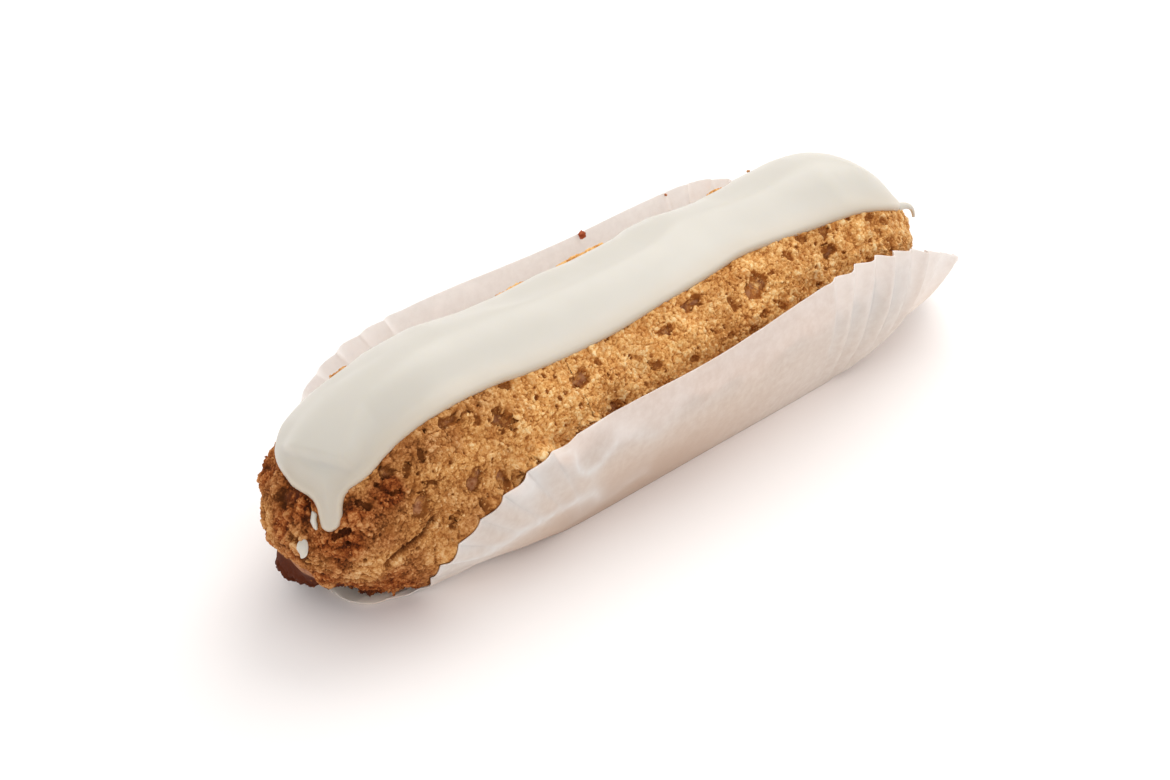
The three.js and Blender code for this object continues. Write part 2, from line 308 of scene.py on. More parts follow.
def lean_of(p):
    """The angle in degrees down the front at which a place lies."""
    half, up, down = loaf_sizes(p[:, 0])
    rise = p[:, 2] - LOAF_MIDDLE
    rise = rise / np.maximum(np.where(rise > 0, up, down), 0.3)
    return np.degrees(np.arctan2(-p[:, 1] / np.maximum(half, 0.3), rise))


def rounded(knots):
    """The line through the knots with its corners cut."""
    line = np.array(knots, float)
    for _ in range(3):
        a, b = line[:-1], line[1:]
        cut = np.stack([0.75 * a + 0.25 * b, 0.25 * a + 0.75 * b], axis=1).reshape(-1, 2)
        line = np.concatenate([line[:1], cut, line[-1:]])
    return line


def along_edge(line, share):
    """The place along X and the lean at a share of the line's length on the loaf."""
    step = np.linalg.norm(np.diff(loaf(*line.T), axis=0), axis=1)
    length = np.concatenate([[0], np.cumsum(step)])
    return np.stack([np.interp(share * length[-1], length, line[:, k]) for k in (0, 1)], axis=-1)


def icing_reach(p):
    """How far inside the icing's edge a place lies, in mm; negative outside it."""
    share = np.linspace(0, 1, 700)
    ring = np.concatenate([
        along_edge(rounded(ICING_FRONT), share), along_edge(rounded(ICING_BACK), share)[::-1],
    ])
    edge = KDTree(len(ring))
    for i, at in enumerate(loaf(*ring.T)):
        edge.insert(at, i)
    edge.balance()
    distance = np.array([edge.find(at)[2] for at in p])
    x, lean = p[:, 0], lean_of(p)
    inside = np.zeros(len(p), bool)
    for (ax, al), (bx, bl) in zip(ring, np.roll(ring, -1, axis=0)):
        if ax != bx:
            crosses = ((ax > x) != (bx > x)) & (lean < al + (bl - al) * (x - ax) / (bx - ax))
            inside ^= crosses
    return np.where(inside, distance, -distance)


def distance_to_line(p, a, b):
    a, b = np.asarray(a, float), np.asarray(b, float)
    along = b - a
    t = np.clip((p - a) @ along / max(along @ along, 1e-9), 0, 1)
    return np.linalg.norm(p - a - t[:, None] * along, axis=1)


# Working on pieces


def pick(piece):
    """Selects the piece alone."""
    bpy.ops.object.select_all(action="DESELECT")
    piece.select_set(True)
    bpy.context.view_layer.objects.active = piece


def copy_of(node, name):
    """A copy of a solid, merged into one skin of four-sided faces."""
    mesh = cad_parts[node].data.copy()
    piece = bpy.data.objects.new(name, mesh)
    mesh.name = name
    mesh.materials.clear()
    bpy.context.scene.collection.objects.link(piece)
    pick(piece)
    bpy.ops.object.mode_set(mode="EDIT")
    bpy.ops.mesh.select_all(action="SELECT")
    bpy.ops.mesh.remove_doubles(threshold=MERGED * MM)
    bpy.ops.mesh.tris_convert_to_quads()
    bpy.ops.object.mode_set(mode="OBJECT")
    return piece


def flat_sheet(name, across, along):
    """A flat sheet of faces, and how far across and along it each vertex lies, from 0 to 1."""
    bpy.ops.object.select_all(action="DESELECT")
    bpy.ops.mesh.primitive_grid_add(x_subdivisions=across, y_subdivisions=along, size=1)
    piece = bpy.context.object
    piece.name = piece.data.name = name
    u, v, _ = (places(piece) * MM + 0.5).T
    return piece, np.round(u * across) / across, np.round(v * along) / along


def closed_up(piece):
    """Merges the edges that meet and turns the faces outwards."""
    pick(piece)
    bpy.ops.object.mode_set(mode="EDIT")
    bpy.ops.mesh.select_all(action="SELECT")
    bpy.ops.mesh.remove_doubles(threshold=MERGED * MM)
    bpy.ops.mesh.normals_make_consistent(inside=False)
    bpy.ops.object.mode_set(mode="OBJECT")


def worked(piece, kind, **values):
    """Adds a modifier and applies it."""
    pick(piece)
    modifier = piece.modifiers.new(kind.lower(), kind)
    for key, value in values.items():
        setattr(modifier, key, value)
    bpy.ops.object.modifier_apply(modifier=modifier.name)


def places(piece):
    """The places of a piece's vertices in mm."""
    co = np.empty(3 * len(piece.data.vertices), np.float32)
    piece.data.vertices.foreach_get("co", co)
    return co.reshape(-1, 3).astype(float) / MM


def set_places(piece, p):
    piece.data.vertices.foreach_set("co", (p * MM).astype(np.float32).ravel())
    piece.data.update()


def outward(piece):
    n = np.empty(3 * len(piece.data.vertices), np.float32)
    piece.data.vertices.foreach_get("normal", n)
    return n.reshape(-1, 3).astype(float)


def weigh(piece, name, weight):
    """A vertex group with that weight at each vertex."""
    group = piece.vertex_groups.new(name=name)
    level = np.round(np.clip(weight, 0, 1) * 100).astype(int)
    for step in np.unique(level[level > 0]):
        group.add(np.nonzero(level == step)[0].tolist(), step / 100, "REPLACE")


def paint(piece, name, value):
    """A number at each vertex, for the material to read."""
    layer = piece.data.attributes.new(name, "FLOAT", "POINT")
    layer.data.foreach_set("value", np.asarray(value, np.float32))


def choose_faces(piece, chosen_vertices):
    """Enters edit mode with the faces selected whose vertices are all chosen."""
    mesh = piece.data
    pick(piece)
    bpy.ops.object.mode_set(mode="EDIT")
    bpy.ops.mesh.select_mode(type="FACE")
    bpy.ops.mesh.select_all(action="DESELECT")
    bpy.ops.object.mode_set(mode="OBJECT")
    corner = np.empty(len(mesh.loops), np.int32)
    mesh.loops.foreach_get("vertex_index", corner)
    start = np.empty(len(mesh.polygons), np.int32)
    mesh.polygons.foreach_get("loop_start", start)
    whole = np.minimum.reduceat(chosen_vertices[corner].astype(np.int8), start)
    mesh.polygons.foreach_set("select", whole.astype(bool))
    bpy.ops.object.mode_set(mode="EDIT")


# The paper case


def through(points, t):
    """A closed smooth curve through the points, from 0 to 1."""
    points = np.asarray(points, float)
    count = len(points)
    place = np.mod(t, 1) * count
    i = np.floor(place).astype(int)
    w = (place - i)[:, None]
    p0, p1, p2, p3 = (points[(i + k) % count] for k in (-1, 0, 1, 2))
    pairs = ((p1, p0), (p2, p1), (p3, p2))
    d0, d1, d2 = (np.sum((q - r) ** 2, axis=1)[:, None] ** 0.25 for q, r in pairs)
    m1 = ((p1 - p0) / d0 - (p2 - p0) / (d0 + d1) + (p2 - p1) / d1) * d1
    m2 = ((p2 - p1) / d1 - (p3 - p1) / (d1 + d2) + (p3 - p2) / d2) * d1
    return (
        (2 * w**3 - 3 * w**2 + 1) * p1 + (w**3 - 2 * w**2 + w) * m1
        + (3 * w**2 - 2 * w**3) * p2 + (w**3 - w**2) * m2
    )


CASE_BASE = [(x, y, 0) for x, y, *_ in FOLDS]
CASE_RIM = [fold[2:] for fold in FOLDS]


def case_wall(t, up):
    """The outside of the case without its pleats: round it and up it from 0 to 1."""
    rim = through(CASE_RIM, t)
    p = through(CASE_BASE, t)
    p += (rim - p) * up[:, None]
    front = np.clip(-rim[:, 1] / 10, 0, 1) * np.clip(rim[:, 2] / 20, 0, 1)
    p[:, 1] -= FRONT_BULGE * 4 * up * (1 - up) * front
    out = (rim - through(CASE_BASE, t))[:, :2]
    out /= np.linalg.norm(out, axis=1, keepdims=True)
    low = 4 * np.sqrt(up) * (1 - np.sqrt(up))
    belly = FAR_BELLY * low * smooth(44, 62, rim[:, 0]) * np.clip(rim[:, 2] / 6, 0, 1)
    p[:, :2] += out * belly[:, None]
    return p


def case_normal(t, up):
    e = 1e-3
    onward = case_wall(t + e, up) - case_wall(t - e, up)
    upward = case_wall(t, np.minimum(1, up + e)) - case_wall(t, np.maximum(0, up - e))
    n = np.cross(onward, upward)
    return n / np.linalg.norm(n, axis=1, keepdims=True)


def pleat_bulge(t):
    """How far out the paper bulges between the sharp folds of its pleats, from 0 to 1."""
    fine = np.linspace(0, 1, 6001)
    step = np.linalg.norm(np.diff(through(CASE_RIM, fine), axis=0), axis=1)
    length = np.concatenate([[0], np.cumsum(step)])
    count = at_knots(PLEAT_MARKS, np.interp(t, fine, length))
    number = np.floor(count)
    size = 0.75 + 0.25 * np.sin(9 * number)
    return size * np.sin(math.pi * (count - number) ** 1.4) ** 0.8


def fold_case():
    """The case, and its outside as a tree to measure distances to."""
    rows = CASE_BASE_ROWS + CASE_WALL_ROWS
    case, t, v = flat_sheet("case_paper", CASE_STATIONS, rows)
    row = np.round(v * rows)
    up = np.clip((row - CASE_BASE_ROWS) / CASE_WALL_ROWS, 0, 1)
    rim = through(CASE_RIM, t)
    base = through(CASE_BASE, t)
    near = smooth(-21, -30, rim[:, 0])
    far = smooth(34, 42, rim[:, 0])
    standing = 0.25 + 0.75 * np.clip(rim[:, 2] / 8, 0, 1)
    bulge = pleat_bulge(t)
    shaped = (near * up**2.6 + 1.6 * far * up**0.9) * standing

    p = case_wall(t, up)
    normal = case_normal(t, np.clip(up, 0.02, 0.98))
    rise = (rim - base) / np.linalg.norm(rim - base, axis=1, keepdims=True)
    lift = 0.9 * smooth(15, -25, rim[:, 0]) * (rim[:, 1] > 0) * standing
    dip = RIM_DIP * (0.4 - bulge**1.6) * far * smooth(69, 62, rim[:, 0])
    p += rise * (lift * up + dip * up**3)[:, None]
    p += normal * (PLEAT_DEPTH * (bulge - 0.35) * shaped)[:, None]
    crease = (1 - np.abs(patches(p, 7, 33))) ** 5 * smooth(10, -25, p[:, 0])
    crinkle = 0.3 * patches(p, 11, 31) + 0.12 * patches(p, 4, 32) + 0.18 * crease
    p += normal * (crinkle * smooth(0, 0.3, up))[:, None]
    flat = row <= CASE_BASE_ROWS
    centre = np.array(CASE_CENTRE)
    p[flat] = centre + (base[flat] - centre) * (row[flat] / CASE_BASE_ROWS)[:, None]
    p[:, 2] = np.maximum(p[:, 2], 0)
    set_places(case, p)
    # Painted highlight: the paper is whiter across the folds of the pleats, standing in for their lit
    # faces; the crinkles are whiter as creased paper is.
    fold = (1 - bulge) ** 1.3 * smooth(0.2, 0.8, up)
    white = crease * smooth(0.05, 0.4, up) + (0.5 * near + 0.9 * far) * fold
    paint(case, "crease", np.clip(white, 0, 1))
    paint(case, "warmth", smooth(2, -12, p[:, 1]) * (1 - 0.25 * smooth(5, 60, p[:, 0])))
    paint(case, "upper", smooth(0.5, 1, up) * (0.4 + 0.6 * smooth(-40, -12, p[:, 0])))
    # Painted shade: the front wall darker low down, towards its base
    paint(case, "lower", smooth(0.7, 0.15, up) * smooth(35, -5, p[:, 0]))
    # Painted light: the paper's tip under the nose lighter and warmer, where it lies in the loaf's shade
    paint(case, "tip", smooth(-50, -57, p[:, 0]) * smooth(6, 2, p[:, 2]))
    closed_up(case)
    if np.sum(outward(case) * (places(case) - (0, 0, 12))) < 0:
        case.data.flip_normals()
    outside = BVHTree.FromPolygons(
        [v.co for v in case.data.vertices], [f.vertices for f in case.data.polygons]
    )
    worked(case, "SOLIDIFY", thickness=PAPER_THICK * MM, offset=-1)
    pick(case)
    bpy.ops.object.shade_smooth_by_angle(angle=math.radians(50))
    return case, outside


def outside_paper(outside, p, reach):
    """How far each place lies outside the paper, the way out, and how far it is past the rim.

    A place with no paper within reach counts as far inside.
    """
    past = np.full(len(p), -1e3)
    way = np.zeros((len(p), 3))
    over = np.zeros(len(p))
    for i, at in enumerate(p):
        hit, normal, _, _ = outside.find_nearest(Vector(at) * MM, reach * MM)
        if hit:
            gap = Vector(at) - hit / MM
            past[i] = gap.dot(normal)
            way[i] = normal
            over[i] = gap.cross(normal).length
    return past, way, over


# The crust


def pit_lines():
    """Both ends on the loaf and half the width of each pit."""
    front = [(loaf(a, m), loaf(b, n), r) for a, m, b, n, r in PITS]
    rng = np.random.default_rng(5)
    back = []
    for i in range(BACK_PITS):
        x = -66 + 132 * (i + rng.random()) / BACK_PITS
        lean = -52 - 42 * rng.random()
        size = 0.6 + 1.3 * rng.random() ** 2
        turn = rng.random() * math.tau
        step = size * 0.7 * np.array([math.cos(turn), math.sin(turn)])
        back.append((loaf(x - step[0], lean - 3 * step[1]), loaf(x + step[0], lean + 3 * step[1]), size))
    return front + back


def granules(p, size, seed):
    """Distances to the middles of the nearest two granules, and the nearest one's own value."""
    bend = np.stack([patches(p, 1.3 * size, seed + k) for k in range(3)], axis=1)
    q = p / size + 0.35 * bend
    cell = np.floor(q).astype(np.int64)
    nearest, second = np.full((2, len(p)), 9.0)
    value = np.zeros(len(p))
    for corner in range(27):
        at = cell + np.array([corner % 3, corner // 3 % 3, corner // 9]) - 1
        middle = at + np.stack([scrambled(*at.T, seed + 50 * k) for k in (1, 2, 3)], axis=1)
        d = np.linalg.norm(q - middle, axis=1)
        second = np.minimum(second, np.maximum(d, nearest))
        value = np.where(d < nearest, scrambled(*at.T, seed + 200), value)
        nearest = np.minimum(nearest, d)
    return nearest, second, value


def pit_weight(p, own):
    """How far a place lies down in a pit and how much on its floor, from 0 to 1."""
    ragged = 0.45 * (own - 0.5) + 0.2 * patches(p, 1.5, 3) + 0.12 * patches(p, 0.7, 4)
    down, floor = np.zeros((2, len(p)))
    for a, b, size in pit_lines():
        near = np.abs(p - (a + b) / 2).max(axis=1) < 3 * size + np.abs(b - a).max()
        d = distance_to_line(p[near], a, b) / size + ragged[near]
        deep = min(1.0, 0.35 + 0.35 * size)
        down[near] = np.maximum(down[near], deep * smooth(1.2, 0.7, d))
        floor[near] = np.maximum(floor[near], smooth(0.85, 0.4, d) * smooth(0.75, 1.2, size))
    return down, floor


def crack_weight(p):
    """How far the crust has sunk above the crack, from 0 to 1."""
    x, y, z = p.T
    above = 0.85 * (z - at_knots(CRACK, x)) + 0.25 * patches(p, 1.6, 8)
    ends = smooth(-63, -60, x) * smooth(-49.5, -52.5, x) * smooth(-8, -12, y)
    groove = 0.75 * np.exp(-((above - 0.35) / 0.35) ** 2)
    step = 0.6 * smooth(-0.1, 0.2, above) * np.exp(-np.maximum(above, 0) / 3)
    return np.clip(step + groove, 0, 1) * ends


def shell_weight(p):
    """Where the crust ends under the nose and the shell shows."""
    under = at_knots(SHELL_EDGE, p[:, 1]) - p[:, 2] + 0.7 * patches(p, 2, 9)
    return smooth(-0.35, 0.35, under) * smooth(-56, -60, p[:, 0])


def toast_of(p):
    """How dark the crust is: baked darkest round the nose, in patches elsewhere, and darker towards the
    bottom.
    """
    x, z = p[:, 0], p[:, 2]
    nose = 0.32 * smooth(-20, -46, x) + 0.63 * smooth(-47, -63, x) + 0.2 * smooth(50, 66, x)
    blotch = 0.5 + 0.5 * patches(p, 9, 11) + 0.4 * patches(p, 4, 12)
    toast = nose * (0.55 + 0.8 * blotch) + 0.18 * blotch + 0.2 * smooth(14, 4, z)
    for middle, radius, more in BURNT:
        away = np.linalg.norm(p - middle, axis=1) + patches(p, 2.5, 13)
        toast += more * smooth(radius, 0.4 * radius, away)
    return np.clip(toast, 0, 1)


def out_of_sight(p):
    """Under the icing, on the bottom and low behind the walls."""
    x, y, z = p.T
    under = (icing_reach(p) > 2.2) | (z < 3.0) & (x > -54)
    under |= (y < -8) & (z < 18) & (x > -30) & (x < 58)
    return under | (y > 4) & (z < 10) & (x > -42) & (x < 58)


def rough_loaf():
    """The loaf in fine faces with its swells, ridges and lip, and the places of its vertices."""
    crust = copy_of("pastry", "crust")
    worked(crust, "SUBSURF", levels=2, render_levels=2)
    worked(crust, "REMESH", mode="VOXEL", voxel_size=CRUST_VOXEL * MM, use_smooth_shade=True)
    worked(crust, "SMOOTH", factor=0.5, iterations=6)
    choose_faces(crust, out_of_sight(places(crust)))
    bpy.ops.mesh.decimate(ratio=HIDDEN_SHARE)
    bpy.ops.object.mode_set(mode="OBJECT")

    p = places(crust)
    out = outward(crust)
    for middle, radius, height in SWELLS:
        p += out * (height * smooth(radius, 0, np.linalg.norm(p - middle, axis=1)))[:, None]
    x, lean = p[:, 0], lean_of(p)
    for start, end, rise in BACK_RIDGES:
        along = smooth(start - 1.5, start + 1, x) * smooth(end + 1.5, end - 1, x)
        along *= smooth(-42.8, -45.5, lean) * smooth(-85, -52, lean)
        p += out * (rise * along)[:, None]
    lip = smooth(-59, -64, x) * smooth(5, 2, p[:, 2])
    p[:, 2] = np.maximum(p[:, 2] - LIP_DROP * lip, 0.1)
    set_places(crust, p)
    return crust, p


def crumble(p, shown):
    """The granules at each place: own values, the finer ones' form, and the grain's height in mm."""
    x, near = p[:, 0], p[shown]
    own, lump, fine, hole, knob = np.full((5, len(p)), 0.5)
    nearest, second, own[shown] = granules(near, GRANULE, 300)
    lump[shown] = 1 - (1 - np.clip((second - nearest) / 0.4, 0, 1)) ** 2
    nearest, second, _ = granules(near, FINE_GRANULE, 700)
    fine[shown] = 1 - (1 - np.clip((second - nearest) / 0.5, 0, 1)) ** 2
    nearest, _, chance = granules(near, HOLE_ROOM, 1100)
    hole[shown] = smooth(0.27, 0.12, nearest) * (chance > 0.5)
    knob[shown] = 1 - np.clip(granules(near, KNOB, 1900)[0] / 0.8, 0, 1) ** 2
    nearest, second, chance = granules(near, CLUMP, 1500)
    clump = np.zeros(len(p))
    clump[shown] = 0.3 * (chance - 0.5) - 0.25 * smooth(0.16, 0.02, second - nearest)
    fused = 0.65 + 0.45 * patches(p, 3.5, 17)
    grain = fused * (0.3 * (lump - 0.7) + 0.25 * (own - 0.5)) + 0.16 * (fine - 0.7)
    grain += 0.7 * clump - 0.7 * hole
    grain += 0.55 * (smooth(42, 54, x) + smooth(-58, -66, x)) * (knob - 0.5)
    return own, fine, grain


def keep_inside(crust, outside):
    """Pulls the crust to just inside the paper wherever it lies beside it."""
    p = places(crust)
    x, y, z = p.T
    beside = np.nonzero((z < 31) & ((y < -9) | (x < -30) | (x > 45)))[0]
    past, way, over = outside_paper(outside, p[beside], 3.4)
    into = past + CLEAR_OF_PAPER
    push = np.where(into > 0, into, into * smooth(-3.0, -2.0, into)) * smooth(1.6, 0.3, over)
    p[beside] -= way * push[:, None]
    set_places(crust, p)


def shape_crust(outside):
    """The crust, how thickly loose grains lie on it, and which way was out before it crumbled."""
    crust, p = rough_loaf()
    x, _, z = p.T
    normal = outward(crust)
    reach = icing_reach(p)
    own, fine, grain = crumble(p, reach < 1.5)

    bare = smooth(1.2, -0.3, reach)
    pit, floor = np.multiply(pit_weight(p, own), smooth(0.3, -0.6, reach))
    shell = shell_weight(p)
    crack = crack_weight(p)
    base = smooth(4.5, 1.5, z) * smooth(-58, -50, x)
    crumb = bare * (1 - 0.45 * pit) * (1 - 0.6 * crack) * (1 - base) * (1 - shell * smooth(4, 8, z))
    shell_deep = shell * smooth(5, 9, z) * SHELL_DEPTH
    deep = np.maximum(np.maximum(pit * PIT_DEPTH, crack * CRACK_DEPTH), shell_deep)
    relief = crumb * (grain + 0.3 * patches(p, 6, 15) + 0.15 * patches(p, 2.6, 16)) - deep
    relief += 0.5 * shell * smooth(7, 4, z) * patches(p, 1.5, 18)
    weigh(crust, "raised", relief / RAISED)
    weigh(crust, "sunk", -relief / SUNK)
    for group, far in (("raised", RAISED), ("sunk", -SUNK)):
        worked(crust, "DISPLACE", direction="NORMAL", strength=far * MM, mid_level=0, vertex_group=group)
    crust.vertex_groups.clear()

    # Painted shade and light in the crust's colour: crevices, holes, the crack and the pit walls darker,
    # the granules' tops paler
    wall = smooth(0.1, 0.35, pit) * (1 - floor)
    painted_crack_shade = 0.3 * crack + 0.7 * smooth(0.62, 0.95, crack)
    paint(crust, "relief", np.clip(0.6 + 1.2 * crumb * grain - painted_crack_shade - 0.65 * wall, 0, 1))
    floor = floor * smooth(-0.6, 0.3, patches(p, 0.9, 22) + 0.6 * (fine - 0.5))
    paint(crust, "shell", np.clip(np.maximum(np.maximum(floor, shell), base), 0, 1))
    lip_toast = 1 - 0.5 * smooth(8, 11, z)
    # Painted shade in the crack and on the pit floors, added to the toast
    painted_shade = 0.3 * crack + 0.5 * floor * smooth(-45, -30, x)
    paint(crust, "toast", toast_of(p) * (1 - shell) + lip_toast * shell + painted_shade)
    paint(crust, "tint", 0.55 * own + 0.225 + 0.225 * patches(p, 2.2, 21))

    keep_inside(crust, outside)
    pick(crust)
    bpy.ops.object.shade_smooth()
    cover = np.maximum(crumb, 0.12 * pit * (1 - shell)) * smooth(0.1, -0.4, reach) * (z > 3)
    return crust, cover, normal


def keep_beyond(piece, x, way):
    """Cuts a piece across at x, keeps the side that lies that way along X and closes it."""
    pick(piece)
    bpy.ops.object.mode_set(mode="EDIT")
    bpy.ops.mesh.select_all(action="SELECT")
    bpy.ops.mesh.bisect(plane_co=(x * MM, 0, 0), plane_no=(way, 0, 0), use_fill=True, clear_inner=True)
    bpy.ops.mesh.quads_convert_to_tris()
    bpy.ops.mesh.region_to_loop()
    bpy.ops.mesh.mark_sharp()
    bpy.ops.object.mode_set(mode="OBJECT")


def cut_crust(crust):
    """Cuts the crust in closed pieces, each with its own mesh."""
    pieces = []
    for i, name in enumerate(CRUST_PIECES):
        piece = crust.copy()
        piece.data = crust.data.copy()
        piece.name = piece.data.name = name
        bpy.context.scene.collection.objects.link(piece)
        if i > 0:
            keep_beyond(piece, CRUST_CUTS[i - 1], 1)
        if i < len(CRUST_CUTS):
            keep_beyond(piece, CRUST_CUTS[i], -1)
        pieces.append(piece)
    mesh = crust.data
    bpy.data.objects.remove(crust)
    bpy.data.meshes.remove(mesh)
    return pieces


def grain_models(count, subdivisions, seed):
    """Corners and faces of a few crumbly grains, about 1 across."""
    models = []
    for i in range(count):
        bpy.ops.object.select_all(action="DESELECT")
        bpy.ops.mesh.primitive_ico_sphere_add(subdivisions=subdivisions, radius=0.5)
        grain = bpy.context.object
        bpy.ops.object.mode_set(mode="EDIT")
        bpy.ops.transform.vertex_random(offset=0.24, uniform=0.6, seed=seed + i)
        bpy.ops.object.mode_set(mode="OBJECT")
        corners = np.array([v.co for v in grain.data.vertices])
        faces = np.array([f.vertices for f in grain.data.polygons])
        models.append((corners, faces))
        mesh = grain.data
        bpy.data.objects.remove(grain)
        bpy.data.meshes.remove(mesh)
    return models


def turns(rng, count):
    """Random rotation matrices."""
    q = rng.normal(size=(count, 4))
    w, x, y, z = (q / np.linalg.norm(q, axis=1, keepdims=True)).T
    return np.stack([
        1 - 2 * (y * y + z * z), 2 * (x * y - z * w), 2 * (x * z + y * w),
        2 * (x * y + z * w), 1 - 2 * (x * x + z * z), 2 * (y * z - x * w),
        2 * (x * z - y * w), 2 * (y * z + x * w), 1 - 2 * (x * x + y * y),
    ], axis=1).reshape(-1, 3, 3)


def joined_grains(name, models, at, size, rng, toast, tint):
    """One piece of many grains: each a turned and squashed copy of a model."""
    which = rng.integers(len(models), size=len(at))
    turn = turns(rng, len(at))
    squash = rng.uniform(0.65, 1.3, size=(len(at), 3))
    corners, faces, darker, lighter = [], [], [], []
    first = 0
    for m, (shape, shape_faces) in enumerate(models):
        mine = np.nonzero(which == m)[0]
        put = (shape[None] * squash[mine, None]) @ turn[mine].transpose(0, 2, 1)
        put = put * size[mine, None, None] + at[mine, None]
        corners.append(put.reshape(-1, 3))
        step = first + np.arange(len(mine))[:, None, None] * len(shape)
        faces.append((shape_faces[None] + step).reshape(-1, 3))
        darker.append(np.repeat(toast[mine], len(shape)))
        lighter.append(np.repeat(tint[mine], len(shape)))
        first += len(mine) * len(shape)
    mesh = bpy.data.meshes.new(name)
    mesh.from_pydata(np.concatenate(corners) * MM, [], np.concatenate(faces))
    piece = bpy.data.objects.new(name, mesh)
    bpy.context.scene.collection.objects.link(piece)
    paint(piece, "relief", np.full(len(mesh.vertices), 0.62))
    paint(piece, "shell", np.zeros(len(mesh.vertices)))
    paint(piece, "toast", np.concatenate(darker))
    paint(piece, "tint", np.concatenate(lighter))
    return piece


def scatter_grains(crust, cover, normal, outside, name, count, sizes, sunk, seed):
    """One piece of loose grains on the crust, as thick as its cover says and clear of the paper."""
    mesh = crust.data
    mesh.calc_loop_triangles()
    tri = np.empty(3 * len(mesh.loop_triangles), np.int32)
    mesh.loop_triangles.foreach_get("vertices", tri)
    tri = tri.reshape(-1, 3)
    p = places(crust)
    a, b, c = p[tri[:, 0]], p[tri[:, 1]], p[tri[:, 2]]
    area = np.linalg.norm(np.cross(b - a, c - a), axis=1) / 2
    weight = area * cover[tri].min(axis=1)
    middle = (a + b + c) / 3
    weight *= np.clip(0.75 + 0.7 * patches(middle, 3.2, seed), 0.1, 1.5)
    rng = np.random.default_rng(seed)
    chosen = np.searchsorted(np.cumsum(weight), rng.random(count) * weight.sum())
    u, v = rng.random(count), rng.random(count)
    flip = u + v > 1
    u, v = np.where(flip, 1 - u, u), np.where(flip, 1 - v, v)
    at = a[chosen] + u[:, None] * (b - a)[chosen] + v[:, None] * (c - a)[chosen]
    up = normal[tri[chosen]].mean(axis=1)
    size = sizes[0] + (sizes[1] - sizes[0]) * rng.random(count) ** 1.6
    at += up * (size * rng.uniform(*sunk, size=count))[:, None]
    past, _, over = outside_paper(outside, at, 2.0)
    clear = (past < -0.6 * size - PAPER_THICK) | (over > 0.6 * size)
    at, size = at[clear], size[clear]
    toast = np.clip(toast_of(at) + rng.normal(0, 0.1, len(at)), 0, 1)
    models = grain_models(5, 1, seed)
    return joined_grains(name, models, at, size, rng, toast, rng.random(len(at)))


# The icing


def pour_icing():
    """The icing: rolled along its front edge, plainly round behind, thin over the nose."""
    icing, across, along = flat_sheet("icing_top", ICING_AROUND, ICING_ALONG)
    share = along - 0.55 * np.sin(math.tau * along) / math.tau
    front = along_edge(rounded(ICING_FRONT), share)
    back = along_edge(rounded(ICING_BACK), share)
    # Across the top from the back edge to the front one, then back underneath
    w = (1 - np.cos(math.tau * across)) / 2
    x, lean = (back + (front - back) * w[:, None]).T
    under = loaf(x, lean)
    inside = np.maximum(icing_reach(under), 0) * (w > 0) * (w < 1)

    behind = smooth(-5, -30, lean)
    full = ICING_THICK + ICING_HUMP * smooth(20, -40, x) - 0.8 * smooth(58, 66, x)
    full -= ICING_THINNER * smooth(-0.2, 0.8, at_knots(ICING_BREAK, lean) - x)
    full += 0.13 * patches(under, 16, 51) + 0.05 * patches(under, 6, 52)
    full += ICING_SUNK + (at_knots(ICING_BEHIND, x) - full) * behind
    width, rolled_high, dip = ICING_BEAD
    rolled_high = rolled_high + ICING_TIP * smooth(58, 65, x)
    where, from_edge, to_full = np.transpose(ICING_RISE)
    low, high = np.interp(x, where, from_edge), np.interp(x, where, to_full)
    bead = rolled_high * quarter_round(inside / width) - dip * smooth(width, low, inside)
    rolled = bead + (full - rolled_high + dip) * smooth(low, high, inside)
    blunt = full * quarter_round(inside / ICING_BLUNT)
    top = rolled + (blunt - rolled) * behind
    height = np.where(across <= 0.5, top, 0) - ICING_SUNK
    set_places(icing, under + loaf_normal(x, lean) * height[:, None])
    thin = 0.55 * smooth(0.6, 0.1, inside) + 0.45 * smooth(5.5, 0.5, inside)
    paint(icing, "thin", thin * (1 - behind))
    closed_up(icing)
    worked(icing, "SMOOTH", factor=0.5, iterations=2)
    pick(icing)
    bpy.ops.object.shade_smooth()
    return icing


# Loose bits


def icing_tail():
    """The last thread of icing, curled over the far end."""
    bpy.ops.object.select_all(action="DESELECT")
    bpy.ops.curve.primitive_nurbs_path_add()
    tail = bpy.context.object
    for point, (*at, thick) in zip(tail.data.splines[0].points, ICING_TAIL):
        point.co = (*(Vector(at) * MM), 1)
        point.radius = thick
    tail.data.bevel_depth = MM
    tail.data.bevel_resolution = 3
    tail.data.use_fill_caps = True
    bpy.ops.object.convert(target="MESH")
    tail = bpy.context.object
    tail.name = tail.data.name = "icing_tail"
    closed_up(tail)
    bpy.ops.object.shade_smooth()
    return tail


def loose_crumbs():
    rng = np.random.default_rng(3)
    at, size, toast, tint = (np.array(values) for values in zip(*LOOSE_CRUMBS))
    return joined_grains("loose_crumbs", grain_models(3, 2, 40), at, size, rng, toast, tint)


